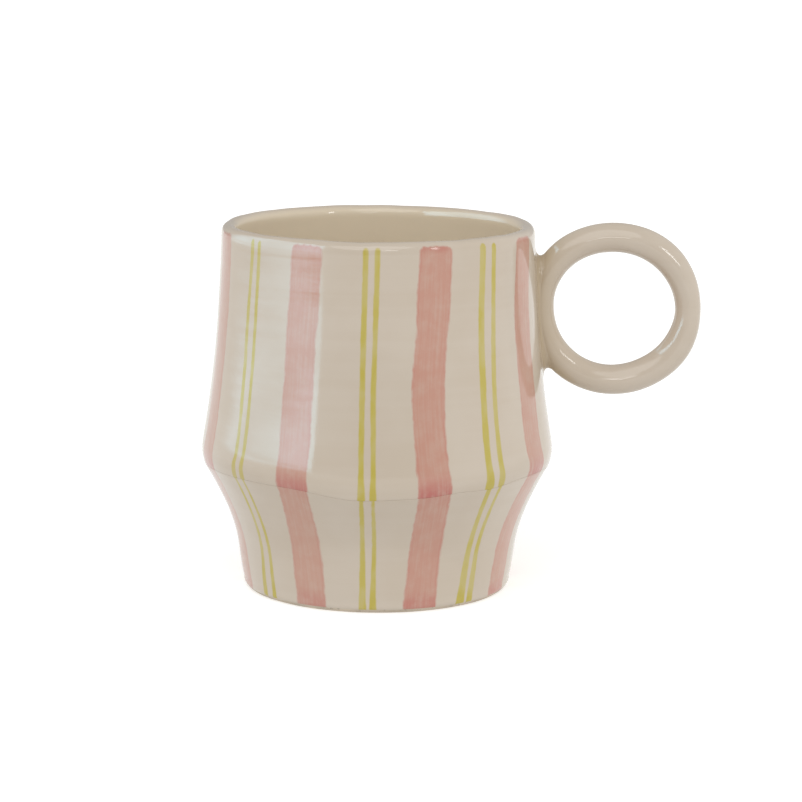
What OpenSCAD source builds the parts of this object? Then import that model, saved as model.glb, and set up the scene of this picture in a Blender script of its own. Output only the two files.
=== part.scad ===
// Hand-painted stoneware mug with a full-circle ring handle.
// Millimetres. The origin is the centre of the foot on the table, +Z is up, and the handle points to +X.

/* [Body] */
// Height from the table to the top of the lip
height = 100; // [90:0.5:122]
// Outer diameter just below the lip
rim_d = 85.4; // [72:0.2:104]
// Largest outer diameter, at the shoulder
shoulder_d = 96.4; // [90:0.2:118]
// Height of the largest diameter above the table
shoulder_h = 38.5; // [32:0.5:47]
// Outer diameter at the bottom edge
base_d = 73.8; // [62:0.2:84]
// Thickness of the wall
wall_t = 4.2; // [3:0.1:6]
// Thickness of the floor slab
floor_t = 5; // [3.5:0.1:7]

/* [Curve of the wall] */
// Lean of the wall just below the lip, in degrees
rim_lean = 1.8; // [0:0.1:6]
// Share of the upper wall that keeps the rim's lean
rim_hold = 0.69; // [0.4:0.01:0.8]
// Share of the upper wall that stays upright above the shoulder
shoulder_hold = 0.07; // [0.03:0.01:0.2]
// Radius of the rounded nose under the shoulder
nose_r = 13; // [9:0.5:20]
// Drop from the largest diameter to the seam of the two walls
seam_drop = 4.5; // [3:0.1:6]
// Lean of the lower wall where it leaves the seam, in degrees
seam_lean = 30.5; // [22:0.5:38]
// Share of the lower wall that keeps the seam's lean
seam_hold = 0.63; // [0.3:0.01:0.7]
// Lean of the lower wall at the base, in degrees
base_lean = 11; // [4:0.5:15]
// Share of the lower wall that keeps the base's lean
base_hold = 0.37; // [0.2:0.01:0.5]

/* [Foot] */
// Radius of the rounded bottom edge
edge_r = 2.4; // [1.8:0.1:3.5]
// Height of the bare foot ring, and depth of the hollow under the floor
foot_h = 1.2; // [0.8:0.1:1.7]
// Width of the face that stands on the table
foot_w = 5; // [3:0.1:8]

/* [Ring handle] */
// Radius of the ring, to the middle of its roll of clay
ring_r = 19.9; // [16:0.1:25]
// Thickness of the roll of clay
ring_t = 7.6; // [6:0.1:9.5]
// Drop from the top of the lip to the top of the ring, negative where the ring stands higher
ring_drop = -0.4; // [-1:0.1:6]
// Depth that the roll is let into the line of the wall
ring_bite = 2.7; // [1.5:0.1:3]
// Width of the slip fillet round the joint
slip_w = 2.2; // [1:0.1:3]
// Height of the slip fillet on the wall
slip_h = 1.6; // [0.8:0.1:2.4]

/* [Painted stripes] */
// Number of broad strokes, and of fine pairs between them
stripe_count = 8; // [6:1:10]
// Turn of the first fine pair from the handle, in degrees
stripe_turn = -5; // [-11:0.5:11]
// Width of a broad stroke at the rim
broad_w = 9.2; // [6:0.1:11]
// Width of a fine line at the rim
fine_w = 1.7; // [1:0.1:2.5]
// Distance between the middles of a pair of fine lines at the rim
fine_pitch = 3.2; // [2.8:0.1:5]
// Thickness of the coat of underglaze
paint_t = 0.15; // [0.1:0.05:0.3]
// Clearance between the strokes and the slip round the handle
paint_gap = 1.2; // [1:0.1:2]

/* [Hidden] */
$fn = 96;
CREAM = [0.90, 0.87, 0.80];
BARE_CLAY = [0.80, 0.72, 0.60];
SLIP = [0.84, 0.79, 0.70];
PINK = [0.87, 0.62, 0.57];
GREEN = [0.74, 0.70, 0.30];

curve_steps = 16;
arc_steps = 8;
slip_steps = 2;
lip_r = wall_t / 2;
rim_r = rim_d / 2;
shoulder_r = shoulder_d / 2;
base_r = base_d / 2;
rim_z = height - lip_r;
seam_z = shoulder_h - seam_drop;
floor_top = foot_h + floor_t;
tube_r = ring_t / 2;
ring_z = height - ring_drop - ring_r - tube_r;

// A cubic curve from a to d that sets off towards b and arrives from c.
function bezier(a, b, c, d) = [for (i = [0:curve_steps]) let (t = i / curve_steps, s = 1 - t)
    a * s ^ 3 + 3 * b * s ^ 2 * t + 3 * c * s * t ^ 2 + d * t ^ 3];
// An arc about c, from angle a to angle b.
function arc(c, r, a, b) = [for (i = [0:arc_steps]) let (t = a + (b - a) * i / arc_steps)
    c + r * [cos(t), sin(t)]];
function lean(angle) = [sin(angle), cos(angle)];
function shifted(points, by) = [for (p = points) p + [by, 0]];
function reversed(points) = [for (i = [len(points) - 1:-1:0]) points[i]];
function above(points, z) = [for (p = points) if (p.y > z) p];
function radius_at(points, z) = lookup(z, [for (p = points) [p.y, p.x]]);

// Outline of the outside, as [radius, height] from the table up, in four stretches.
nose_angle = asin(seam_drop / nose_r);
nose = arc([shoulder_r - nose_r, shoulder_h], nose_r, -nose_angle, 0);
seam_point = nose[0];
lower_span = seam_z - edge_r;
upper_span = rim_z - shoulder_h;
edge_angle = asin((edge_r - foot_h) / edge_r);
edge_centre = [base_r - edge_r, edge_r];
foot_edge = arc(edge_centre, edge_r, -90, -edge_angle);
wall_edge = arc(edge_centre, edge_r, -edge_angle, 0);
lower_curve = bezier([base_r, edge_r], [base_r, edge_r] + base_hold * lower_span * lean(base_lean),
    seam_point - seam_hold * lower_span * lean(seam_lean), seam_point);
upper_curve = bezier([shoulder_r, shoulder_h], [shoulder_r, shoulder_h + shoulder_hold * upper_span],
    [rim_r, rim_z] + rim_hold * upper_span * [sin(rim_lean), -cos(rim_lean)], [rim_r, rim_z]);
lower_outside = concat(wall_edge, lower_curve);
upper_outside = concat(nose, upper_curve);
lip = arc([rim_r - lip_r, rim_z], lip_r, 0, 180);

floor_r = radius_at(lower_outside, floor_top) - wall_t;
ring_x = radius_at(upper_outside, ring_z) - ring_bite + tube_r + ring_r;

// ---- Body ----

// Bare ring of clay that the mug stands on. It carries on the rounded edge of the wall above it.
module foot_ring() {
    inner_r = edge_centre.x - foot_w;
    color(BARE_CLAY) rotate_extrude()
        polygon(concat([[inner_r, foot_h], [inner_r, 0]], foot_edge));
}

module floor_disc() {
    color(CREAM) translate([0, 0, foot_h]) cylinder(r = floor_r, h = floor_t);
}

module lower_wall() {
    inside = above(shifted(lower_outside, -wall_t), floor_top);
    color(CREAM) rotate_extrude()
        polygon(concat(lower_outside, reversed(inside), [[floor_r, floor_top], [floor_r, foot_h]]));
}

module upper_wall() {
    color(CREAM) rotate_extrude()
        polygon(concat(upper_outside, lip, reversed(shifted(upper_outside, -wall_t))));
}

// The body as if it were solid clay, swollen by grow. The handle and its slip are cut to fit against it.
module body_solid(grow = 0) {
    rotate_extrude() polygon(concat([[0, foot_h]], shifted(lower_outside, grow),
        shifted(upper_outside, grow), [[rim_r - lip_r, height], [0, height]]));
}

// ---- Handle ----

module ring(r) {
    translate([ring_x, 0, ring_z]) rotate([90, 0, 0]) rotate_extrude()
        translate([ring_r, 0]) circle(r = r);
}

module ring_handle() {
    color(CREAM) difference() {
        ring(tube_r);
        body_solid();
    }
}

// Soft clay wiped round the joint: low and wide against the wall, high and narrow against the ring.
module handle_slip() {
    color(SLIP) difference() {
        for (i = [1:slip_steps]) intersection() {
            ring(tube_r + slip_w * (slip_steps + 1 - i) / slip_steps);
            body_solid(slip_h * i / slip_steps);
        }
        body_solid();
        ring(tube_r);
    }
}

// ---- Painted stripes ----

function degrees_at_rim(width) = width / rim_r * 180 / PI;

// A coat of paint on one stretch of the outside, turned through the angle that it covers.
module stroke(outside, middle, width) {
    angle = degrees_at_rim(width);
    rotate_extrude(angle = angle, start = middle - angle / 2)
        polygon(concat(outside, reversed(shifted(outside, paint_t))));
}

module broad_strokes(outside) {
    for (i = [0:stripe_count - 1])
        stroke(outside, stripe_turn + (i + 0.5) * 360 / stripe_count, broad_w);
}

module fine_lines(outside) {
    offset_angle = degrees_at_rim(fine_pitch) / 2;
    difference() {
        for (i = [0:stripe_count - 1], side = [-1, 1])
            stroke(outside, stripe_turn + i * 360 / stripe_count + side * offset_angle, fine_w);
        ring(tube_r + slip_w + paint_gap);
    }
}

module pink_strokes_upper() {
    color(PINK) broad_strokes(upper_outside);
}

module pink_strokes_lower() {
    color(PINK) broad_strokes(lower_outside);
}

module green_lines_upper() {
    color(GREEN) fine_lines(upper_outside);
}

module green_lines_lower() {
    color(GREEN) fine_lines(lower_outside);
}

foot_ring();
floor_disc();
lower_wall();
upper_wall();
ring_handle();
handle_slip();
pink_strokes_upper();
pink_strokes_lower();
green_lines_upper();
green_lines_lower();
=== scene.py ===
"""Hand-painted mug with a ring handle: the glazed visual model, built round its CAD frame."""

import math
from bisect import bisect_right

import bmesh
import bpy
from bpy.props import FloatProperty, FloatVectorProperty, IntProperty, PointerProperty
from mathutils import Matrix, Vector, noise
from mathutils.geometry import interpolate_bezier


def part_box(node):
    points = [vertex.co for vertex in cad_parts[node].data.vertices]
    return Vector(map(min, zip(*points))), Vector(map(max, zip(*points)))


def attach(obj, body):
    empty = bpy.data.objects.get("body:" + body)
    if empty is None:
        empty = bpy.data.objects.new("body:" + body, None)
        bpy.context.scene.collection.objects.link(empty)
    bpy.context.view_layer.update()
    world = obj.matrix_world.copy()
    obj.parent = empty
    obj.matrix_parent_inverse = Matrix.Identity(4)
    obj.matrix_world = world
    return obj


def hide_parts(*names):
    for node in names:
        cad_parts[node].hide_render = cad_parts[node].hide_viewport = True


bl_info = {
    "name": "Striped mug with a ring handle",
    "version": (1, 0, 0),
    "blender": (4, 5, 0),
    "location": "View3D > Sidebar > Mug",
    "description": "Builds the walls, foot, handle and glaze of a hand-painted mug",
    "category": "Add Mesh",
}

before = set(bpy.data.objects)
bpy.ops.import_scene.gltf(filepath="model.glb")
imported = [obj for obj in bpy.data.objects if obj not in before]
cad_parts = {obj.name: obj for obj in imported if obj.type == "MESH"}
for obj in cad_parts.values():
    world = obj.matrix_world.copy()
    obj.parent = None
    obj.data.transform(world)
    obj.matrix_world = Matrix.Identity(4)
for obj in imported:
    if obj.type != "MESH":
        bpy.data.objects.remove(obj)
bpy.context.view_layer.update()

MM = 0.001
TURN = 2 * math.pi


# ---- Properties ----


def size(name, description, default, low=0.0, high=0.2):
    """A length that can be set."""
    return FloatProperty(name=name, description=description, default=default, min=low, max=high,
                         precision=5, unit="LENGTH", subtype="DISTANCE")


def share(name, description, default, low=0.0, high=1.0):
    """A plain number that can be set."""
    return FloatProperty(name=name, description=description, default=default, min=low, max=high)


def turn(name, description, default):
    """An angle that can be set, given in degrees."""
    return FloatProperty(name=name, description=description, default=math.radians(default),
                         unit="ROTATION", subtype="ANGLE")


def tint(name, description, default):
    """A colour that can be set."""
    return FloatVectorProperty(name=name, description=description, default=default, size=3,
                               min=0.0, max=1.0, subtype="COLOR")


class MugBody(bpy.types.PropertyGroup):
    steps: IntProperty(name="Steps", description="Faces round the body", min=64, max=720,
                       default=512)
    dent: size("Dent depth", "How far the hands pressed the wall in and out", 0.24 * MM)
    rim_wave: size("Rim wave", "How far the lip rises and falls", 0.34 * MM)
    seam_dip: share("Seam dip", "How strongly the seam of the two walls dips and rises", 1.0, 0.0,
                    1.5)
    seam_round: size("Seam rounding", "Rounding of the two edges at the seam", 0.12 * MM)
    floor_sweep: size("Floor sweep", "Size of the hollow curve from wall to floor", 7.5 * MM)
    spiral: size("Spiral height", "Height of the spiral left on the floor", 0.14 * MM)
    spiral_pitch: size("Spiral pitch", "Distance between two turns of the spiral", 4.5 * MM)
    foot_round: size("Foot rounding", "Rounding of the inner edge of the foot", 0.35 * MM)


class MugStripes(bpy.types.PropertyGroup):
    count: IntProperty(name="Count", description="Broad strokes round the body", default=8, min=3,
                       max=12)
    first: turn("First pair", "Turn of a pair of fine lines from the front to the handle", -5.0)
    broad: size("Broad stroke", "Width of a broad stroke", 9.1 * MM)
    fine: size("Fine line", "Width of a fine line", 1.62 * MM)
    pitch: size("Pair pitch", "Distance between the two lines of a pair", 3.15 * MM)
    start: size("Start", "Drop from the lip to the start of the strokes", 1.2 * MM)
    clear: size("Clearance", "Bare glaze between a stroke and the handle", 3.4 * MM)
    pink: tint("Pink", "Broad strokes", (0.580, 0.305, 0.232))
    pink_pooled: tint("Pooled pink", "Where the broad brush stopped", (0.525, 0.152, 0.130))
    green: tint("Green", "Fine lines", (0.560, 0.475, 0.120))
    green_pooled: tint("Pooled green", "Where the fine brush slowed", (0.530, 0.435, 0.070))


class MugHandle(bpy.types.PropertyGroup):
    depth: size("Depth", "Thickness of the ring across its plane", 7.5 * MM)
    slip_side: size("Slip at the sides", "Reach of the slip beside the joint", 1.7 * MM)
    slip_tip: size("Slip at the tips", "Reach of the slip above and below the joint", 4.7 * MM)
    seat: size("Seat", "Depth that the ring is let into the wall", 0.5 * MM)


class MugGlaze(bpy.types.PropertyGroup):
    cream: tint("Cream", "Glaze over the whole mug", (0.640, 0.560, 0.465))
    # The inside cream is brighter and warmer than the outside: painted light for the light that
    # reaches the inside.
    inside: tint("Inside", "Glaze poured on the inside", (0.805, 0.705, 0.550))
    cream_warm: tint("Warm cream", "Where the glaze lies thicker", (0.595, 0.505, 0.400))
    # Tan: glaze pooled in the corners, and painted shade where the handle meets the wall.
    tan: tint("Tan", "Glaze pooled in the corners", (0.480, 0.370, 0.230))
    clay: tint("Bare clay", "Unglazed foot", (0.680, 0.580, 0.460))
    coat_roughness: share("Coat roughness", "Roughness of the glossy coat", 0.09)


class MugStage(bpy.types.PropertyGroup):
    heading: turn("Heading", "Turn of the view towards the handle", 1.491)
    pitch: turn("Pitch", "How far the view looks down", 10.33)
    roll: turn("Roll", "Tilt of the camera about its own axis", 0.432)
    distance: size("Distance", "From the camera to the aim", 0.8314, 0.2, 3.0)
    lens: FloatProperty(name="Lens", description="Focal length in millimetres", default=136.0,
                        min=20.0)
    aim: FloatVectorProperty(name="Aim", description="Point that the view is centred on", size=3,
                             default=(0.00647, 0.0, 0.05092), unit="LENGTH", subtype="XYZ")
    sky: share("Sky", "Strength of the even light from above and round about", 0.44, 0.0, 3.0)
    bounce: share("Bounce", "Strength of the even light from below", 0.59, 0.0, 3.0)
    right: share("Right", "More of the even light from the handle's side", 0.57, 0.0, 3.0)
    left: share("Left", "More of the even light from the other side", 0.37, 0.0, 3.0)
    overhead: share("Overhead", "Strength of the broad light from above", 0.92, 0.0, 5.0)


GROUPS = {"mug_body": MugBody, "mug_stripes": MugStripes, "mug_handle": MugHandle,
          "mug_glaze": MugGlaze, "mug_stage": MugStage}


# ---- Small sums ----


def ease(x, low, high):
    """0 below low, 1 above high, smooth between."""
    t = min(max((x - low) / (high - low), 0.0), 1.0)
    return t * t * (3 - 2 * t)


def through(x, xs, ys):
    """A smooth curve through the points (xs, ys), level beyond both ends."""
    last = len(xs) - 1
    x = min(max(x, xs[0]), xs[last])
    i = min(bisect_right(xs, x) - 1, last - 1)

    def slope(j):
        a, b = max(j - 1, 0), min(j + 1, last)
        return (ys[b] - ys[a]) / (xs[b] - xs[a])

    span = xs[i + 1] - xs[i]
    t = (x - xs[i]) / span
    s = 1 - t
    return (ys[i] * s * s * (1 + 2 * t) + ys[i + 1] * t * t * (3 - 2 * t)
            + span * t * s * (slope(i) * s - slope(i + 1) * t))


def arc_distance(a, b):
    """Signed angle from b to a, between minus and plus half a turn."""
    return (a - b + math.pi) % TURN - math.pi


def smooth_line(points, step):
    """Points at most one step apart, on a smooth line through the given ones."""
    points = [Vector(p) for p in points]
    last = len(points) - 1

    def tangent(i):
        before = points[i] - points[max(i - 1, 0)]
        after = points[min(i + 1, last)] - points[i]
        d0, d1 = before.length, after.length
        if not d0 or not d1:
            return (before + after).normalized()
        return (before * d1 / d0 + after * d0 / d1) / (d0 + d1)

    line = [points[0]]
    for i in range(last):
        a, b = points[i], points[i + 1]
        third = (b - a).length / 3
        count = max(2, math.ceil((b - a).length / step) + 1)
        leaving, arriving = a + tangent(i) * third, b - tangent(i + 1) * third
        line += interpolate_bezier(a, leaving, arriving, b, count)[1:]
    return line


# ---- Sizes taken from the CAD frame ----


def node_sides(node):
    """Inside and outside outlines of a turned node from the bottom up, as (radius, height)."""
    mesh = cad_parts[node].data
    rows = ({}, {})
    for face in mesh.polygons:
        if abs(face.normal.z) > 0.999:
            continue
        outward = face.center.x * face.normal.x + face.center.y * face.normal.y > 0
        for index in face.vertices:
            co = mesh.vertices[index].co
            rows[outward][round(co.z, 5)] = math.hypot(co.x, co.y)
    return [[(r, z) for z, r in sorted(side.items())] for side in rows]


UPPER_INSIDE, UPPER_OUTSIDE = node_sides("upper_wall")
LOWER_INSIDE, LOWER_OUTSIDE = node_sides("lower_wall")
FOOT_INSIDE, FOOT_OUTSIDE = node_sides("foot_ring")
FLOOR_LOW, FLOOR_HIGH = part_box("floor_disc")
FLOOR_R = FLOOR_HIGH[0]
FLOOR_TOP = FLOOR_HIGH[2]
SEAM_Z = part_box("upper_wall")[0][2]
LIP_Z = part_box("upper_wall")[1][2]

RING_LOW, RING_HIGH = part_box("ring_handle")
TUBE = (RING_HIGH[1] - RING_LOW[1]) / 2
RING_R = (RING_HIGH[2] - RING_LOW[2]) / 2 - TUBE
RING_CENTRE = Vector((RING_HIGH[0] - RING_R - TUBE, 0, (RING_HIGH[2] + RING_LOW[2]) / 2))

SIDE_HEIGHTS = [z for r, z in LOWER_OUTSIDE[:-1] + UPPER_OUTSIDE]
SIDE_RADII = [r for r, z in LOWER_OUTSIDE[:-1] + UPPER_OUTSIDE]


# ---- What the hands left ----

# Where the seam was pressed down: turn from the front in degrees, half width, drop in millimetres.
SEAM_RISE = 1.2
SEAM_DIPS = ((-8, 15, 2.1), (14, 14, 1.5), (38, 10, 1.0), (100, 20, 1.4), (140, 14, 0.8),
             (178, 17, 2.0), (222, 13, 1.1), (262, 20, 1.5))
SEAM_REACH = 9.5 * MM

# The lip waves from this height up, and nothing lifts below this one.
RIM_FROM = 66 * MM
FOOT_STILL = 6 * MM

# Dents fade out between these radii, so the middle of the floor stays round.
DENTS_FROM = 8 * MM
DENTS_FULL = 30 * MM


def turn_of(co):
    """Turn of a point about the axis, from the front towards the handle."""
    return math.atan2(co.x, -co.y)


def dent_at(theta, z, depth):
    """How far the wall stands out from the turned shape, a little more in than out."""
    round_about = Vector((math.cos(theta), math.sin(theta), 0))
    broad = noise.noise(round_about * 1.5 + Vector((3.1, 7.7, z * 26)))
    small = noise.noise(round_about * 3.4 + Vector((9.4, 1.3, z * 58)))
    return depth * (0.85 * broad + 0.4 * small - 0.55)


def hand_made(co, body):
    """Moves a point of the turned body to where the hands left it, inside and outside alike."""
    r = math.hypot(co.x, co.y)
    if r < 1e-7:
        return co.copy()
    theta = turn_of(co)
    dip = SEAM_RISE
    for middle, width, drop in SEAM_DIPS:
        away = math.degrees(arc_distance(theta, math.radians(middle))) / width
        dip -= drop * math.exp(-away * away)
    near_seam = (co.z - SEAM_Z) / SEAM_REACH
    lift = body.seam_dip * dip * MM * math.exp(-near_seam * near_seam)
    wave = noise.noise(Vector((1.8 * math.cos(theta) + 5.2, 1.8 * math.sin(theta), 0.4)))
    wave += 0.4 * noise.noise(Vector((5.5 * math.cos(theta), 5.5 * math.sin(theta), 8.8)))
    far = 0.3 - 0.35 * math.cos(theta)
    lift += body.rim_wave * (wave + far) * ease(co.z, RIM_FROM, LIP_Z)
    out = dent_at(theta, co.z, body.dent) * ease(r, DENTS_FROM, DENTS_FULL)
    factor = 1 + out / r
    return Vector((co.x * factor, co.y * factor, co.z + lift * ease(co.z, 0.0, FOOT_STILL)))


def wall_point(theta, z, out, body):
    """A point this far out from the outer face of the finished wall."""
    r = through(z, SIDE_HEIGHTS, SIDE_RADII) + dent_at(theta, z, body.dent) + out
    return Vector((r * math.sin(theta), -r * math.cos(theta), z))


# ---- Meshes ----

# Points closer than this are one point.
SAME_POINT = 1e-6

# How far the handles of a rounding curve reach to its corner.
ROUND_PULL = 1 - 0.45


def turned(outline, steps, closed=True):
    """A solid turned about Z from the (radius, height) points of its outline."""
    bm = bmesh.new()
    verts = [bm.verts.new((r, 0, z)) for r, z in outline]
    pairs = list(zip(verts, verts[1:]))
    if closed:
        pairs.append((verts[-1], verts[0]))
    edges = [bm.edges.new(pair) for pair in pairs]
    bmesh.ops.spin(bm, geom=verts + edges, cent=(0, 0, 0), axis=(0, 0, 1), angle=TURN,
                   steps=steps, use_merge=True)
    bmesh.ops.remove_doubles(bm, verts=bm.verts, dist=SAME_POINT)
    bmesh.ops.recalc_face_normals(bm, faces=bm.faces)
    return bm


def rounded_corner(before, corner, after, radius, segments=4):
    """Points that round a corner of an outline."""
    before, corner, after = Vector(before), Vector(corner), Vector(after)
    a = corner + (before - corner).normalized() * radius
    b = corner + (after - corner).normalized() * radius
    near_a, near_b = a.lerp(corner, ROUND_PULL), b.lerp(corner, ROUND_PULL)
    return interpolate_bezier(a, near_a, near_b, b, segments + 1)


def finish_piece(context, bm, name, material, nodes, sharp=35.0):
    """Makes the object, hangs it on the root body, and hides the CAD nodes it stands for."""
    mesh = bpy.data.meshes.new(name)
    bm.to_mesh(mesh)
    bm.free()
    mesh.shade_smooth()
    mesh.set_sharp_from_angle(angle=math.radians(sharp))
    obj = bpy.data.objects.new(name, mesh)
    context.scene.collection.objects.link(obj)
    obj.data.materials.append(material)
    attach(obj, "root")
    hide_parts(*nodes)
    return obj


# ---- Painted strokes ----

# Drift of each stroke off its even place in degrees, at these heights, then its width and its load
# of paint. A fine line has no load.
STROKE_HEIGHTS = [z * MM for z in (4, 20, 36, 42, 60, 78, 96)]
BROAD = {
    -2: ((-1.6, -2.3, -1.6, -0.9, -1.2, -1.1, -1.0), 1.00, 0.80),
    -1: ((-1.6, -2.2, -1.5, -1.1, -1.1, -0.5, 0.5), 0.99, 0.88),
    0: ((-0.2, 0.7, 0.2, -0.7, -1.3, 0.6, 2.1), 1.00, 1.00),
    1: ((-1.2, -0.6, 0.6, -1.4, -0.8, -1.4, 1.5), 1.00, 0.87),
}
FINE = {
    (-1, 0): ((-2.8, -1.2, -1.9, -0.5, -0.9, -1.2, 0.3), 0.86),
    (-1, 1): ((-1.7, -1.3, -1.7, -0.6, -0.9, -1.0, -0.3), 0.80),
    (0, 0): ((0.7, 0.9, 0.9, 0.8, 0.9, 1.2, 1.7), 0.98),
    (0, 1): ((0.1, 0.8, 0.8, 0.9, 0.6, 1.1, 1.6), 0.88),
    (1, 0): ((-0.9, 0.3, -0.4, -1.2, -1.0, -0.5, 1.0), 1.32),
    (1, 1): ((-0.8, 0.3, 1.0, 0.1, 0.0, 1.0, 2.1), 1.06),
}


# How far a stroke without such a row wanders, in degrees, and the share of it that each line of a
# pair wanders by itself.
WANDER = 2.6
LINE_WANDER = 0.35

# A distance outside every stroke, in millimetres.
FAR_OUTSIDE = 10.0

# Strokes lie on the outer face, and the brighter inside cream, painted light, begins between these
# two depths in the wall.
OUTER_SKIN = 1.9 * MM
INSIDE_FROM = 2.2 * MM
INSIDE_FULL = 3.8 * MM


def drift(known, z, seed):
    """How far a stroke has wandered at this height, in radians."""
    if known:
        return math.radians(through(z, STROKE_HEIGHTS, known))
    return math.radians(WANDER * noise.noise(Vector((seed * 7.3, z * 24, 6.1))))


def end_rounded(across, above, rounding):
    """Distance outside a stroke, from how far a point is beside it and above its start."""
    x = across + rounding
    y = above + rounding
    return math.hypot(max(x, 0), max(y, 0)) + min(max(x, y), 0) - rounding


def nearest_index(theta, stripes, offset):
    """Number of the nearest stroke, and the turn from one stroke to the next."""
    pitch = TURN / stripes.count
    index = round((theta - stripes.first) / pitch - offset)
    return (index + 3) % stripes.count - 3, pitch


def broad_strokes(theta, z, r, stripes):
    """Distance outside the nearest broad stroke and across it, in millimetres, and its load."""
    index, pitch = nearest_index(theta, stripes, 0.5)
    unseen = (None, 0.95 + 0.04 * (index % 3), 0.80 + 0.08 * (index % 3))
    known, width, load = BROAD.get(index, unseen)
    middle = stripes.first + (index + 0.5) * pitch + drift(known, z, index)
    across = arc_distance(theta, middle) * r
    half = stripes.broad * width / 2
    half += 0.28 * MM * noise.noise(Vector((index * 9.1, z * 85, math.copysign(4.4, across))))
    half += 0.30 * MM * (ease(z, SEAM_Z + 7 * MM, SEAM_Z + 1 * MM) if z >= SEAM_Z else 0.0)
    above = z - (LIP_Z - stripes.start - 0.25 * MM * noise.noise(Vector((index * 3.7, 2.2, 0.1))))
    return end_rounded(abs(across) - half, above, 1.3 * MM) / MM, across / MM, load


def fine_half_width(z, usual):
    """Half the width of a fine line: the brush slows at the shoulder and again at the foot."""
    if z >= SEAM_Z:
        return usual * (1 + 0.42 * ease(-z, -SEAM_Z - 8 * MM, -SEAM_Z))
    return usual * (0.76 + 0.66 * (1 - z / SEAM_Z) ** 2)


def fine_lines(theta, z, r, stripes):
    """Distance outside the nearest fine line, in millimetres."""
    index, pitch = nearest_index(theta, stripes, 0.0)
    nearest = FAR_OUTSIDE * MM
    for side in (0, 1):
        number = index * 2 + side
        known, width = FINE.get((index, side), (None, 0.90 + 0.07 * (number % 4)))
        middle = stripes.first + index * pitch
        if known is None:
            middle += LINE_WANDER * drift(known, z, number)
        middle += drift(known, z, index + 40)
        across = arc_distance(theta, middle) * r - (side - 0.5) * stripes.pitch
        half = fine_half_width(z, stripes.fine * width / 2)
        half += 0.09 * MM * noise.noise(Vector((number * 5.3, z * 130, 1.7)))
        uneven = 0.6 * MM * noise.noise(Vector((number * 2.3, 8.1, 3.3)))
        above = z - (LIP_Z - stripes.start - uneven)
        nearest = min(nearest, end_rounded(abs(across) - half, above, half))
    return nearest / MM


def pooled(z):
    """How much the paint gathered at this height: at the end of each stroke."""
    if z >= SEAM_Z:
        end = ease(-z, -SEAM_Z - 6.5 * MM, -SEAM_Z + 0.5 * MM)
        return max(end, 0.45 * ease(z, LIP_Z - 3 * MM, LIP_Z - 1.5 * MM))
    return max(0.55 * ease(-z, -7 * MM, -2 * MM), 0.15 * ease(z, SEAM_Z - 3 * MM, SEAM_Z))


def paint(bm, handle, stripes):
    """Stores, on each point of a wall, where it lies on the painted strokes."""
    names = ("pink_edge", "pink_across", "pink_load", "green_edge", "pooled", "glaze_pool_and_shade", "inside")
    layers = [bm.verts.layers.float.new(name) for name in names]
    for vert in bm.verts:
        co = vert.co
        theta, r = turn_of(co), math.hypot(co.x, co.y)
        depth = through(co.z, SIDE_HEIGHTS, SIDE_RADII) - r
        inside = ease(depth, INSIDE_FROM, INSIDE_FULL)
        values = [FAR_OUTSIDE, 0.0, 1.0, FAR_OUTSIDE, 0.0, 0.0, inside]
        if depth < OUTER_SKIN:
            pink, across, load = broad_strokes(theta, co.z, r, stripes)
            green = fine_lines(theta, co.z, r, stripes)
            from_ring = ring_distance(co, handle)
            green = max(green, (stripes.clear - from_ring) / MM)
            # Tan near the ring: pooled glaze and painted shade round the handle.
            pool_and_shade_near_ring = math.exp(-max(from_ring - 1.5 * MM, 0) / (2 * MM))
            values = [pink, across, load, green, pooled(co.z), pool_and_shade_near_ring, 0.0]
        for layer, value in zip(layers, values):
            vert[layer] = value


# ---- Ring handle ----


# Hole radius and thickness of the hand-bent ring in millimetres, at angles from the side away from
# the wall, up and over.
RING_ANGLES = (-30, 0, 45, 90, 135, 160, 180, 215, 260, 295, 330, 360, 405)
RING_HOLE = (16.0, 16.5, 15.8, 15.65, 16.75, 17.0, 16.7, 16.2, 15.6, 15.35, 16.0, 16.5, 15.8)
RING_THICK = (8.0, 7.0, 8.0, 8.0, 7.9, 7.7, 7.5, 7.8, 8.05, 8.35, 8.0, 7.0, 8.0)

# Rough half width and half height of the joint with the wall, and its drop below the ring's middle.
JOINT_HALF_WIDTH = 3.4 * MM
JOINT_HALF_HEIGHT = 11.0 * MM
JOINT_DROP = 1.4 * MM

# Tan, part pooled glaze and part painted shade, is full this near the wall, and fades on the ring
# over about this length.
POOL_AND_SHADE_NEAR = 1.0 * MM
POOL_AND_SHADE_REACH = 4.6 * MM


def ring_shape(angle):
    """Radius of the middle of the roll, and its half thickness, at this angle round the ring."""
    degrees = math.degrees(angle) % 360
    half = through(degrees, RING_ANGLES, RING_THICK) * MM / 2
    return through(degrees, RING_ANGLES, RING_HOLE) * MM + half, half


def ring_distance(co, handle):
    """How far a point lies outside the roll of the ring."""
    x, z = co.x - RING_CENTRE.x, co.z - RING_CENTRE.z
    middle, half = ring_shape(math.atan2(z, x))
    return math.hypot(math.hypot(x, z) - middle, co.y * 2 * half / handle.depth) - half


def chart_point(s, reach, out, body):
    """A point on the wall at the handle, which goes round the joint with s and away with reach."""
    u = JOINT_HALF_WIDTH * reach * math.cos(s)
    v = JOINT_HALF_HEIGHT * reach * math.sin(s)
    z = RING_CENTRE.z - JOINT_DROP + v
    theta = math.pi / 2 + u / through(z, SIDE_HEIGHTS, SIDE_RADII)
    return wall_point(theta, z, out, body)


def joint_point(s, gap, out, body, handle):
    """Where the wall raised by out meets the ring swollen by gap, at s round the joint."""
    low, high = 0.0, 3.0
    for _ in range(40):
        reach = (low + high) / 2
        if ring_distance(chart_point(s, reach, out, body), handle) < gap:
            low = reach
        else:
            high = reach
    return chart_point(s, low, out, body)


# ---- Materials ----

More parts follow.
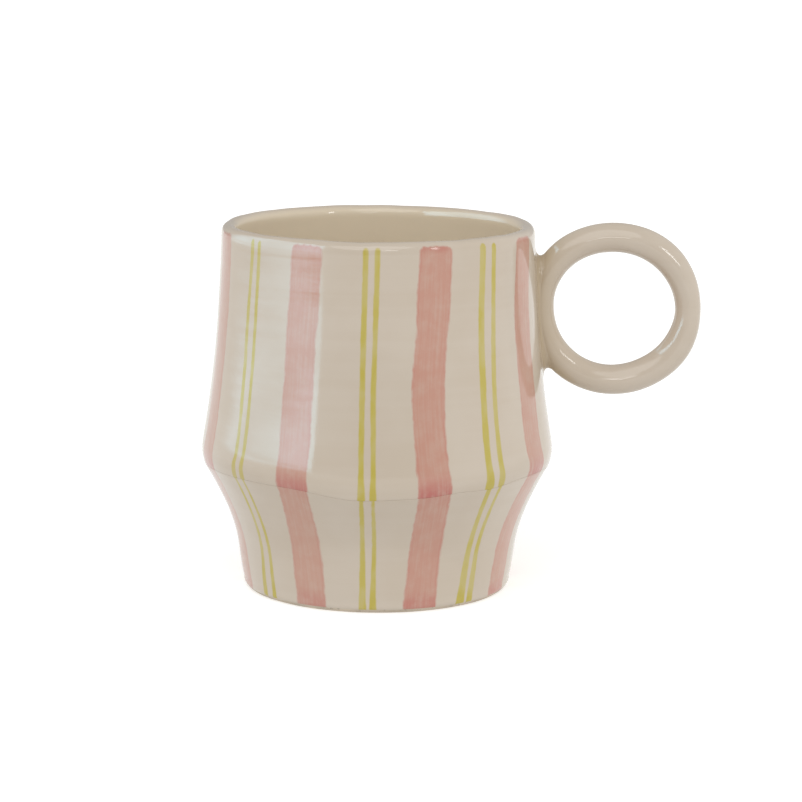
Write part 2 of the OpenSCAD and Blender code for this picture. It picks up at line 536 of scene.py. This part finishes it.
# How many times each pattern repeats in a metre, roughly.
CLOUDS = 38.0
SKIN = 130.0
RUNS = 190.0
PATCHES = 260.0
GRAIN = 650.0
FRINGE = 900.0

# Lines from the wheel and hairs of the brush are noise that is squeezed one way.
WHEEL_LINES = (6.0, 6.0, 420.0)
HAIRS = 1.35
HAIR_LENGTH = 34.0

# Strength and depth of the uneven skin of the glaze, and how much its thickness changes its colour.
GLAZE_BUMP = 0.35
GLAZE_SKIN = 0.12 * MM
GLAZE_VARIATION = 0.6

# How strongly the Tan, part pooled glaze and part painted shade, shows in the corners of the wall
# and of the handle, and the wall's lines from the wheel.
WALL_POOL_AND_SHADE = 0.35
HANDLE_POOL_AND_SHADE = 0.85
WALL_LINES = 0.32


class Graph:
    """Adds nodes to a tree. An input is a number, a colour or another node's output."""

    def __init__(self, tree):
        self.tree = tree
        tree.nodes.clear()

    def add(self, kind, inputs=(), **settings):
        node = self.tree.nodes.new(kind)
        for key, value in settings.items():
            setattr(node, key, value)
        for key, value in dict(inputs).items():
            if isinstance(value, bpy.types.NodeSocket):
                self.tree.links.new(value, node.inputs[key])
            else:
                node.inputs[key].default_value = value
        return node

    def math(self, operation, a, b=0.0, clamp=False):
        node = self.add("ShaderNodeMath", {0: a, 1: b}, operation=operation, use_clamp=clamp)
        return node.outputs[0]

    def mix(self, factor, a, b):
        values = {0: factor, 6: rgba(a), 7: rgba(b)}
        return self.add("ShaderNodeMix", values, data_type="RGBA").outputs[2]

    def noise(self, vector, scale, detail=2.0, roughness=0.5):
        values = {"Vector": vector, "Scale": scale, "Detail": detail, "Roughness": roughness}
        return self.add("ShaderNodeTexNoise", values).outputs["Fac"]

    def span(self, value, low, high, to_low=0.0, to_high=1.0):
        values = {0: value, 1: low, 2: high, 3: to_low, 4: to_high}
        node = self.add("ShaderNodeMapRange", values, interpolation_type="SMOOTHSTEP")
        return node.outputs[0]

    def stretch(self, vector, scale):
        return self.add("ShaderNodeMapping", {"Vector": vector, "Scale": scale}).outputs[0]

    def object_place(self):
        return self.add("ShaderNodeTexCoord").outputs["Object"]

    def attribute(self, name):
        return self.add("ShaderNodeAttribute", attribute_name=name).outputs["Fac"]


def rgba(value):
    """A colour as a socket wants it."""
    if isinstance(value, bpy.types.NodeSocket):
        return value
    return (*value, 1.0)


def group(name, inputs, outputs, build):
    """A shader group with named sockets, made once."""
    if name in bpy.data.node_groups:
        return bpy.data.node_groups[name]
    tree = bpy.data.node_groups.new(name, "ShaderNodeTree")
    graph = Graph(tree)
    for label, kind, default in inputs:
        socket = tree.interface.new_socket(label, in_out="INPUT", socket_type=kind)
        socket.default_value = default
    for label, kind in outputs:
        tree.interface.new_socket(label, in_out="OUTPUT", socket_type=kind)
    results = build(graph, tree.nodes.new("NodeGroupInput").outputs)
    graph.add("NodeGroupOutput", results)
    return tree


def glaze_depth(graph, given):
    """Glaze that lies thicker and thinner, with faint lines from the wheel and an uneven skin."""
    place = graph.object_place()
    clouds = graph.noise(place, CLOUDS, 3.0, 0.55)
    lines = graph.noise(graph.stretch(place, WHEEL_LINES), 1.0, 2.0, 0.6)
    grain = graph.noise(place, GRAIN, 2.0, 0.5)
    thick = graph.span(graph.math("ADD", graph.math("MULTIPLY", clouds, 0.75),
                                  graph.math("MULTIPLY", lines, 0.25)), 0.36, 0.64)
    thick = graph.math("MULTIPLY", thick, given["Variation"])
    colour = graph.mix(thick, given["Thin"], given["Thick"])
    # Tan in the corners: pooled glaze, and painted shade where the handle meets the wall.
    corner = graph.math("MULTIPLY", given["Corner"], 1.0, clamp=True)
    colour = graph.mix(corner, colour, given["Pool"])
    skin = graph.math("ADD", graph.math("MULTIPLY", grain, 0.16),
                      graph.math("MULTIPLY", graph.noise(place, SKIN, 2.0, 0.5), 0.60))
    height = graph.math("ADD", skin, graph.math("MULTIPLY", lines, given["Lines"]))
    roughness = graph.span(clouds, 0.3, 0.7, 0.40, 0.50)
    return {"Colour": colour, "Height": height, "Roughness": roughness}


def glaze_group():
    """The group that every glazed material uses."""
    inputs = (("Thin", "NodeSocketColor", (1, 1, 1, 1)), ("Thick", "NodeSocketColor", (1, 1, 1, 1)),
              ("Pool", "NodeSocketColor", (1, 1, 1, 1)), ("Corner", "NodeSocketFloat", 0.0),
              ("Variation", "NodeSocketFloat", GLAZE_VARIATION), ("Lines", "NodeSocketFloat", 0.0))
    outputs = (("Colour", "NodeSocketColor"), ("Height", "NodeSocketFloat"),
               ("Roughness", "NodeSocketFloat"))
    return group("glaze_depth", inputs, outputs, glaze_depth)


def new_material(name):
    material = bpy.data.materials.new(name)
    material.use_nodes = True
    return material, Graph(material.node_tree)


def shade(graph, colour, roughness, height, bump, distance, coat=0.0, coat_roughness=0.1):
    """The shader itself, with a bump from the height."""
    normal = graph.add("ShaderNodeBump", {"Strength": bump, "Distance": distance, "Height": height})
    shader = graph.add("ShaderNodeBsdfPrincipled", {
        "Base Color": colour, "Roughness": roughness, "Normal": normal.outputs[0],
        "IOR": 1.5, "Coat Weight": coat, "Coat Roughness": coat_roughness, "Coat IOR": 1.5,
        "Specular IOR Level": 0.0 if coat else 0.35})
    if coat:
        graph.tree.links.new(normal.outputs[0], shader.inputs["Coat Normal"])
    graph.add("ShaderNodeOutputMaterial", {"Surface": shader.outputs[0]})
    return shader


def glaze_layer(graph, glaze, pool_and_shade_share, lines):
    """The glaze group placed in a material, with its own share of Tan for pooled glaze and painted
    shade, and of wheel lines.
    """
    corner = graph.math("MULTIPLY", graph.attribute("glaze_pool_and_shade"), pool_and_shade_share)
    values = {"Thin": rgba(glaze.cream), "Thick": rgba(glaze.cream_warm), "Pool": rgba(glaze.tan),
              "Corner": corner, "Variation": GLAZE_VARIATION, "Lines": lines}
    return graph.add("ShaderNodeGroup", values, node_tree=glaze_group()).outputs


def glossy(graph, glaze, colour, layer):
    """Clear gloss over a colour, with the skin of the glaze."""
    shade(graph, colour, layer["Roughness"], layer["Height"], GLAZE_BUMP, GLAZE_SKIN, 1.0,
          glaze.coat_roughness)


def plain_glaze(glaze, name, pool_and_shade_share):
    """Cream glaze with Tan in the corners, for pooled glaze and painted shade."""
    if name in bpy.data.materials:
        return bpy.data.materials[name]
    material, graph = new_material(name)
    layer = glaze_layer(graph, glaze, pool_and_shade_share, 0.0)
    glossy(graph, glaze, layer["Colour"], layer)
    return material


def broad_paint(graph, place, fringe, stripes):
    """How much the broad strokes cover, and their colour, with hairs, patches and pools."""
    edge = graph.math("ADD", graph.attribute("pink_edge"), graph.math("MULTIPLY", fringe, 0.9))
    body = graph.span(edge, -0.42, 0.30, 1.0, 0.0)
    patches = graph.noise(place, PATCHES, 3.0, 0.6)
    height = graph.add("ShaderNodeSeparateXYZ", {0: place}).outputs[2]
    hairs = graph.add("ShaderNodeCombineXYZ", {0: graph.attribute("pink_across"),
                                               1: graph.math("MULTIPLY", height, HAIR_LENGTH)})
    streaks = graph.noise(hairs.outputs[0], HAIRS, 3.0, 0.65)
    wash = graph.math("ADD", graph.math("MULTIPLY", streaks, 0.55),
                      graph.math("MULTIPLY", patches, 0.45))
    strength = graph.span(wash, 0.32, 0.60, 0.72, 1.0)
    gathered = graph.math("MULTIPLY", graph.attribute("pooled"),
                          graph.span(patches, 0.25, 0.6, 0.55, 1.0))
    rim_of_stroke = graph.math("MULTIPLY", graph.span(edge, -1.0, -0.3, 0.0, 1.0), 0.22)
    gathered = graph.math("MAXIMUM", gathered, rim_of_stroke)
    pink = graph.mix(gathered, tuple(stripes.pink), tuple(stripes.pink_pooled))
    loaded = graph.math("MULTIPLY", strength, graph.attribute("pink_load"))
    return graph.math("MULTIPLY", body, loaded), pink


def fine_paint(graph, place, fringe, stripes):
    """How much the fine lines cover, and their colour, with thin and pooled stretches."""
    line = graph.math("ADD", graph.attribute("green_edge"), graph.math("MULTIPLY", fringe, 0.35))
    drawn = graph.span(line, -0.28, 0.20, 1.0, 0.0)
    runs = graph.noise(graph.stretch(place, (1.0, 1.0, 0.5)), RUNS, 2.0, 0.6)
    pool = graph.math("MULTIPLY", graph.attribute("pooled"), 0.8)
    flow = graph.math("ADD", pool, graph.span(runs, 0.35, 0.65, 0.0, 0.55), clamp=True)
    green = graph.mix(flow, tuple(stripes.green), tuple(stripes.green_pooled))
    thin = graph.span(runs, 0.3, 0.6, 0.78, 1.0)
    return graph.math("MULTIPLY", drawn, thin), green


def painted_glaze(glaze, stripes):
    """Cream glaze over broad pink strokes and fine green lines."""
    if "painted_glaze" in bpy.data.materials:
        return bpy.data.materials["painted_glaze"]
    material, graph = new_material("painted_glaze")
    place = graph.object_place()
    layer = glaze_layer(graph, glaze, WALL_POOL_AND_SHADE, WALL_LINES)
    # Where the wall is inside, the brighter cream stands in as painted light for the inside.
    colour = graph.mix(graph.attribute("inside"), layer["Colour"], tuple(glaze.inside))
    fringe = graph.noise(graph.stretch(place, (1.0, 1.0, 0.35)), FRINGE, 2.0, 0.6)
    fringe = graph.math("SUBTRACT", fringe, 0.5)
    for brush in (broad_paint, fine_paint):
        cover, tone = brush(graph, place, fringe, stripes)
        colour = graph.mix(cover, colour, tone)
    glossy(graph, glaze, colour, layer)
    return material


def clay_material(glaze):
    """Unglazed stoneware, matt, with fine grit and a few dark specks."""
    material, graph = new_material("raw_clay")
    place = graph.object_place()
    clouds = graph.noise(place, 120.0, 3.0, 0.6)
    grit = graph.noise(place, 2200.0, 2.0, 0.6)
    darker = tuple(c * 0.78 for c in glaze.clay)
    colour = graph.mix(graph.span(clouds, 0.3, 0.7), tuple(glaze.clay), darker)
    specks = graph.span(graph.noise(place, 1500.0, 1.0, 0.4), 0.66, 0.72)
    dark = tuple(c * 0.35 for c in glaze.clay)
    colour = graph.mix(graph.math("MULTIPLY", specks, 0.6), colour, dark)
    shade(graph, colour, graph.span(grit, 0.3, 0.7, 0.82, 0.95), grit, 0.7, 0.00015)
    return material


def paper_material():
    """Pale floor."""
    material, graph = new_material("pale_floor")
    place = graph.object_place()
    mottle = graph.noise(place, 9.0, 2.0, 0.5)
    colour = graph.mix(graph.span(mottle, 0.3, 0.7), (0.76, 0.76, 0.755), (0.74, 0.74, 0.735))
    shader = shade(graph, colour, graph.span(mottle, 0.3, 0.7, 0.85, 0.9), mottle, 0.05, 0.0002)
    shader.inputs["Emission Color"].default_value = (1.0, 1.0, 0.99, 1.0)
    shader.inputs["Emission Strength"].default_value = 0.54
    return material


# ---- Operators ----


class MugOperator:
    bl_options = {"REGISTER", "UNDO"}

    @classmethod
    def poll(cls, context):
        return hasattr(context.scene, "mug_body")


class MUG_OT_upper_wall(MugOperator, bpy.types.Operator):
    """Build the upper wall, from the seam to the lip"""
    bl_idname = "mug.upper_wall"
    bl_label = "Upper wall"

    def execute(self, context):
        scene = context.scene
        body = scene.mug_body
        side = smooth_line(UPPER_OUTSIDE + UPPER_INSIDE[-2::-1], 1.35 * MM)
        cut = rounded_corner(side[1], side[0], side[-1], body.seam_round)
        outline = cut[::-1] + [p for p in side[1:] if (p - side[0]).length > body.seam_round]
        bm = turned(outline, body.steps)
        paint(bm, scene.mug_handle, scene.mug_stripes)
        for vert in bm.verts:
            vert.co = hand_made(vert.co, body)
        glaze = painted_glaze(scene.mug_glaze, scene.mug_stripes)
        finish_piece(context, bm, "upper_wall_glazed", glaze,
                     ("upper_wall", "pink_strokes_upper", "green_lines_upper"))
        return {"FINISHED"}


class MUG_OT_lower_wall(MugOperator, bpy.types.Operator):
    """Build the lower wall, from the foot to the seam, with the curve that runs into the floor"""
    bl_idname = "mug.lower_wall"
    bl_label = "Lower wall"

    def execute(self, context):
        scene = context.scene
        body = scene.mug_body
        outer = smooth_line(LOWER_OUTSIDE, 1.2 * MM)
        sweep = body.floor_sweep
        inside = [p for p in LOWER_INSIDE if p[1] > FLOOR_TOP + sweep]
        inner = smooth_line(inside[::-1], 1.35 * MM)
        start, before = inner[-1], inner[-2]
        end = Vector((FLOOR_R - sweep, FLOOR_TOP))
        down = (start - before).normalized()
        curve = interpolate_bezier(start, start + down * sweep * 0.55,
                                   end + Vector((sweep * 0.6, 0)), end, 11)[1:]
        sunk = FLOOR_TOP - 0.3 * MM
        under = [Vector((FLOOR_R - sweep, sunk)), Vector((FLOOR_R, sunk)),
                 Vector((FLOOR_R, LOWER_OUTSIDE[0][1]))]
        cut = rounded_corner(outer[-2], outer[-1], inner[0], body.seam_round)
        outer = [p for p in outer[:-1] if (p - outer[-1]).length > body.seam_round] + cut
        bm = turned(outer + inner + curve + under, body.steps)
        paint(bm, scene.mug_handle, scene.mug_stripes)
        for vert in bm.verts:
            vert.co = hand_made(vert.co, body)
        glaze = painted_glaze(scene.mug_glaze, scene.mug_stripes)
        finish_piece(context, bm, "lower_wall_glazed", glaze,
                     ("lower_wall", "pink_strokes_lower", "green_lines_lower"))
        return {"FINISHED"}


class MUG_OT_floor(MugOperator, bpy.types.Operator):
    """Build the floor slab, with the spiral that the fingers left"""
    bl_idname = "mug.floor_disc"
    bl_label = "Floor"

    def execute(self, context):
        scene = context.scene
        body = scene.mug_body
        low = FLOOR_LOW[2]
        rows = 46
        top = [(FLOOR_R * (1 - i / rows), FLOOR_TOP) for i in range(rows + 1)]
        bottom = [(FLOOR_R * i / 14, low) for i in range(15)]
        bm = turned(bottom + top, body.steps // 2, closed=False)
        for vert in bm.verts:
            r = math.hypot(vert.co.x, vert.co.y)
            if vert.co.z > FLOOR_TOP - 0.1 * MM and r < FLOOR_R - 1 * MM:
                phase = TURN * r / body.spiral_pitch - turn_of(vert.co)
                fade = ease(r, 1.5 * MM, 5 * MM) * ease(-r, -FLOOR_R + 5 * MM, -FLOOR_R + 10 * MM)
                dimple = 0.5 * MM * math.exp(-(r / (3.5 * MM)) ** 2)
                vert.co.z += body.spiral * fade * (math.sin(phase) - 0.6) - dimple
            vert.co = hand_made(vert.co, body)
        glaze = plain_glaze(scene.mug_glaze, "glaze_on_floor", 0.0)
        finish_piece(context, bm, "floor_glazed", glaze, ("floor_disc",))
        return {"FINISHED"}


class MUG_OT_foot(MugOperator, bpy.types.Operator):
    """Build the bare foot ring"""
    bl_idname = "mug.foot_ring"
    bl_label = "Foot ring"

    def execute(self, context):
        scene = context.scene
        body = scene.mug_body
        inner_r, top = FOOT_INSIDE[-1]
        outer = smooth_line(FOOT_OUTSIDE, 0.4 * MM)
        width = outer[0].x - inner_r
        face = [Vector((inner_r + t * width, 0)) for t in (0.9, 0.75, 0.6, 0.45, 0.3)]
        corner = rounded_corner(outer[0], (inner_r, 0), (inner_r, top), body.foot_round)
        inner = [Vector((inner_r, top))]
        bm = turned(outer[::-1] + face + corner + inner, body.steps // 2)
        for vert in bm.verts:
            vert.co = hand_made(vert.co, body)
        clay = clay_material(scene.mug_glaze)
        finish_piece(context, bm, "foot_bare", clay, ("foot_ring",))
        return {"FINISHED"}


class MUG_OT_handle(MugOperator, bpy.types.Operator):
    """Build the ring handle, a roll of clay bent round and seated on the wall"""
    bl_idname = "mug.ring_handle"
    bl_label = "Ring handle"

    def execute(self, context):
        scene = context.scene
        body, handle = scene.mug_body, scene.mug_handle
        bm = bmesh.new()
        sections, sides = 320, 80
        start = Matrix.Translation(RING_CENTRE + Vector((RING_R, 0, 0)))
        made = bmesh.ops.create_circle(bm, segments=sides, radius=TUBE, matrix=start)
        edges = list({e for v in made["verts"] for e in v.link_edges})
        bmesh.ops.spin(bm, geom=made["verts"] + edges, cent=RING_CENTRE, axis=(0, 1, 0), angle=TURN,
                       steps=sections, use_merge=True)
        bmesh.ops.remove_doubles(bm, verts=bm.verts, dist=SAME_POINT)
        bmesh.ops.recalc_face_normals(bm, faces=bm.faces)
        glaze_pool_and_shade = bm.verts.layers.float.new("glaze_pool_and_shade")
        for vert in bm.verts:
            x, z = vert.co.x - RING_CENTRE.x, vert.co.z - RING_CENTRE.z
            angle = math.atan2(z, x)
            section = math.atan2(vert.co.y, math.hypot(x, z) - RING_R)
            middle, half = ring_shape(angle)
            wobble = noise.noise(Vector((3 * math.cos(angle), 3 * math.sin(angle),
                                         2.2 * math.cos(section))))
            ridge = 0.022 * math.exp(-((abs(section) - math.pi / 2) / 0.20) ** 2)
            swell = 1 + 0.012 * wobble + ridge
            radius = middle + half * math.cos(section) * swell
            y = handle.depth / 2 * math.sin(section) * swell
            co = Vector((RING_CENTRE.x + radius * math.cos(angle), y,
                         RING_CENTRE.z + radius * math.sin(angle)))
            theta, r = turn_of(co), math.hypot(co.x, co.y)
            wall = wall_point(theta, co.z, -handle.seat, body)
            wall_r = math.hypot(wall.x, wall.y)
            if r < wall_r:
                co = wall
            vert.co = co
            # Tan near the wall, a little more on top: pooled glaze and painted shade where the ring
            # meets the wall.
            fading = math.exp(-max(r - wall_r - POOL_AND_SHADE_NEAR, 0.0) / POOL_AND_SHADE_REACH)
            vert[glaze_pool_and_shade] = fading * (0.85 + 0.15 * math.sin(angle))
        glaze = plain_glaze(scene.mug_glaze, "glaze_on_handle", HANDLE_POOL_AND_SHADE)
        finish_piece(context, bm, "ring_handle_glazed", glaze, ("ring_handle",),
                     sharp=60.0)
        return {"FINISHED"}


class MUG_OT_slip(MugOperator, bpy.types.Operator):
    """Build the slip wiped round the joint of the handle and the wall"""
    bl_idname = "mug.handle_slip"
    bl_label = "Handle slip"

    def execute(self, context):
        scene = context.scene
        body, handle = scene.mug_body, scene.mug_handle
        bm = bmesh.new()
        glaze_pool_and_shade = bm.verts.layers.float.new("glaze_pool_and_shade")
        count, across = 160, 9
        sections = []
        for i in range(count):
            s = TURN * i / count
            tip = math.sin(s) ** 2
            uneven = 1 + 0.12 * noise.noise(Vector((2 * math.cos(s), 2 * math.sin(s), 5.5)))
            reach = (handle.slip_side + (handle.slip_tip - handle.slip_side) * tip) * uneven
            corner = joint_point(s, 0.0, 0.0, body, handle)
            on_wall = joint_point(s, reach, 0.0, body, handle)
            on_ring = joint_point(s, 0.0, reach * 0.9, body, handle)
            line = interpolate_bezier(on_wall, on_wall.lerp(corner, 0.667),
                                      on_ring.lerp(corner, 0.667), on_ring, across)
            sunk = 0.35 * MM
            inward = (corner - (on_wall + on_ring) / 2).normalized()
            middle_of_roll = RING_CENTRE + (on_ring - RING_CENTRE).normalized() * RING_R
            middle_of_roll.y = 0
            into_ring = (middle_of_roll - on_ring).normalized() * sunk
            into_wall = Vector((-on_wall.x, -on_wall.y, 0)).normalized() * sunk
            back = [on_ring + into_ring, corner + inward * 0.6 * MM, on_wall + into_wall]
            verts = []
            for j, co in enumerate(line + back):
                vert = bm.verts.new(co)
                # Tan deepest in the middle of the fillet: pooled glaze and painted shade in the
                # crease.
                vert[glaze_pool_and_shade] = math.sin(math.pi * min(j / (across - 1), 1.0)) ** 1.5
                verts.append(vert)
            ring = [bm.edges.new(pair) for pair in zip(verts, verts[1:] + verts[:1])]
            sections.append(ring)
        for a, b in zip(sections, sections[1:] + sections[:1]):
            bmesh.ops.bridge_loops(bm, edges=a + b)
        bmesh.ops.recalc_face_normals(bm, faces=bm.faces)
        glaze = plain_glaze(scene.mug_glaze, "glaze_on_slip", HANDLE_POOL_AND_SHADE)
        finish_piece(context, bm, "slip_fillet_glazed", glaze, ("handle_slip",),
                     sharp=50.0)
        return {"FINISHED"}


# Lamps that only the gloss shows: name, place, aim, two sides, and power in watts.
PANELS = (("high_right", (0.60, -0.72, 0.42), (0.06, 0.0, 0.08), (0.09, 0.26), 0.60),
          ("front", (0.13, -0.95, 0.34), (0.03, 0.0, 0.07), (0.20, 0.12), 0.35))

# The broad light: where it comes from, and how wide it looks.
SUN_FROM = (-0.12, -1.0, 1.0)
SUN_WIDTH = 50

# The window on one side: how far off it stands, its two ends, its top and its colour.
WINDOW_X = -0.78
WINDOW_FAR = 0.94
WINDOW_NEAR = -0.90
WINDOW_TOP = 1.0
WINDOW_TINT = (0.50, 0.82, 1.0, 1.0)

SKY_TINT = (1.0, 0.985, 0.965, 1.0)
FLOOR_RADIUS = 9.0


class MUG_OT_stage(MugOperator, bpy.types.Operator):
    """Set the floor, the soft light and the camera"""
    bl_idname = "mug.stage"
    bl_label = "Stage"

    def execute(self, context):
        scene = context.scene
        stage = scene.mug_stage
        self.floor(context)
        self.world(scene, stage)
        self.sun(context, stage)
        self.window(context)
        for values in PANELS:
            self.panel(context, *values)
        self.camera(context, stage)
        scene.view_settings.view_transform = "Standard"
        return {"FINISHED"}

    def floor(self, context):
        bm = bmesh.new()
        bmesh.ops.create_circle(bm, cap_ends=True, segments=96, radius=FLOOR_RADIUS)
        mesh = bpy.data.meshes.new("floor")
        bm.to_mesh(mesh)
        bm.free()
        obj = bpy.data.objects.new("floor", mesh)
        context.scene.collection.objects.link(obj)
        obj.data.materials.append(paper_material())
        obj.visible_diffuse = False

    def world(self, scene, stage):
        world = bpy.data.worlds.new("soft_sky")
        world.use_nodes = True
        graph = Graph(world.node_tree)
        direction = graph.add("ShaderNodeTexCoord").outputs["Generated"]
        parts = graph.add("ShaderNodeSeparateXYZ", {0: direction}).outputs
        even = graph.span(parts[2], -0.15, 0.15, stage.bounce, stage.sky)
        strength = graph.math("ADD", even, graph.span(parts[0], 0.10, 1.0, 0.0, stage.right))
        strength = graph.math("ADD", strength, graph.span(parts[0], -1.0, -0.10, stage.left, 0.0))
        sky = graph.add("ShaderNodeBackground", {"Color": SKY_TINT, "Strength": strength})
        seen = graph.add("ShaderNodeBackground", {"Color": (1.0, 1.0, 1.0, 1.0), "Strength": 1.0})
        path = graph.add("ShaderNodeLightPath")
        both = graph.add("ShaderNodeMixShader", {0: path.outputs["Is Camera Ray"],
                                                 1: sky.outputs[0], 2: seen.outputs[0]})
        graph.add("ShaderNodeOutputWorld", {"Surface": both.outputs[0]})
        scene.world = world

    def sun(self, context, stage):
        light = bpy.data.lights.new("overhead", "SUN")
        light.energy = stage.overhead
        light.angle = math.radians(SUN_WIDTH)
        obj = bpy.data.objects.new("overhead", light)
        obj.matrix_world = Vector(SUN_FROM).to_track_quat("Z", "Y").to_matrix().to_4x4()
        context.scene.collection.objects.link(obj)

    def panel(self, context, name, place, aim, sides, power):
        """A lamp that is seen only in the gloss."""
        light = bpy.data.lights.new(name, "AREA")
        light.shape = "RECTANGLE"
        light.size, light.size_y = sides
        light.energy = power
        obj = bpy.data.objects.new(name, light)
        turned_to = (Vector(place) - Vector(aim)).to_track_quat("Z", "Y").to_matrix().to_4x4()
        obj.matrix_world = Matrix.Translation(place) @ turned_to
        obj.visible_diffuse = False
        obj.visible_camera = False
        context.scene.collection.objects.link(obj)

    def window(self, context):
        """Uneven daylight on one side, seen only in the gloss, that fades to the floor and away."""
        bm = bmesh.new()
        for y, z in ((WINDOW_FAR, 0.0), (WINDOW_NEAR, 0.0), (WINDOW_NEAR, WINDOW_TOP),
                     (WINDOW_FAR, WINDOW_TOP)):
            bm.verts.new((0, y, z))
        bm.faces.new(bm.verts)
        mesh = bpy.data.meshes.new("window")
        bm.to_mesh(mesh)
        bm.free()
        obj = bpy.data.objects.new("window", mesh)
        obj.location = (WINDOW_X, 0, 0)
        obj.visible_camera = False
        obj.visible_diffuse = False
        obj.visible_shadow = False
        context.scene.collection.objects.link(obj)
        material, graph = new_material("daylight")
        place = graph.object_place()
        parts = graph.add("ShaderNodeSeparateXYZ", {0: place}).outputs
        fade = graph.math("MULTIPLY", graph.span(parts[1], 0.25, WINDOW_FAR, 1.0, 0.0),
                          graph.span(parts[2], -0.01, 0.05))
        high = graph.span(parts[2], 0.065, 0.10, 1.3, 3.0)
        low = graph.math("SUBTRACT", graph.span(parts[2], 0.015, 0.04),
                         graph.span(parts[2], 0.045, 0.065))
        near = graph.span(parts[1], -0.60, -0.10, 1.7, 1.0)
        panes = graph.math("ADD", high, graph.math("MULTIPLY", low, 1.3))
        strength = graph.math("MULTIPLY", fade, graph.math("MULTIPLY", panes, near))
        glow = graph.add("ShaderNodeEmission", {"Color": WINDOW_TINT, "Strength": strength})
        clear = graph.add("ShaderNodeBsdfTransparent")
        both = graph.add("ShaderNodeAddShader", {0: glow.outputs[0], 1: clear.outputs[0]})
        graph.add("ShaderNodeOutputMaterial", {"Surface": both.outputs[0]})
        obj.data.materials.append(material)

    def camera(self, context, stage):
        data = bpy.data.cameras.new("view")
        data.lens = stage.lens
        data.sensor_width = 36.0
        data.clip_end = 50.0
        turned_view = (Matrix.Rotation(-stage.heading, 4, "Z")
                       @ Matrix.Rotation(math.pi / 2 - stage.pitch, 4, "X")
                       @ Matrix.Rotation(stage.roll, 4, "Z"))
        obj = bpy.data.objects.new("view", data)
        back = turned_view @ Vector((0, 0, stage.distance))
        obj.matrix_world = Matrix.Translation(Vector(stage.aim) + back) @ turned_view
        context.scene.collection.objects.link(obj)
        context.scene.camera = obj


OPERATORS = (MUG_OT_upper_wall, MUG_OT_lower_wall, MUG_OT_floor, MUG_OT_foot, MUG_OT_handle,
             MUG_OT_slip, MUG_OT_stage)


class MUG_PT_sidebar(bpy.types.Panel):
    bl_label = "Mug"
    bl_idname = "MUG_PT_sidebar"
    bl_space_type = "VIEW_3D"
    bl_region_type = "UI"
    bl_category = "Mug"

    def draw(self, context):
        layout = self.layout
        for key, kind in GROUPS.items():
            box = layout.box()
            box.label(text=kind.__name__)
            for name in kind.__annotations__:
                box.prop(getattr(context.scene, key), name)
        for operator in OPERATORS:
            layout.operator(operator.bl_idname)


CLASSES = (*GROUPS.values(), *OPERATORS, MUG_PT_sidebar)


def register():
    for cls in CLASSES:
        bpy.utils.register_class(cls)
    for key, kind in GROUPS.items():
        setattr(bpy.types.Scene, key, PointerProperty(type=kind))


def unregister():
    for key in GROUPS:
        delattr(bpy.types.Scene, key)
    for cls in reversed(CLASSES):
        bpy.utils.unregister_class(cls)


def main():
    register()
    bpy.ops.mug.upper_wall()
    bpy.ops.mug.lower_wall()
    bpy.ops.mug.floor_disc()
    bpy.ops.mug.foot_ring()
    bpy.ops.mug.ring_handle()
    bpy.ops.mug.handle_slip()
    bpy.ops.mug.stage()


if __name__ == "__main__":
    main()
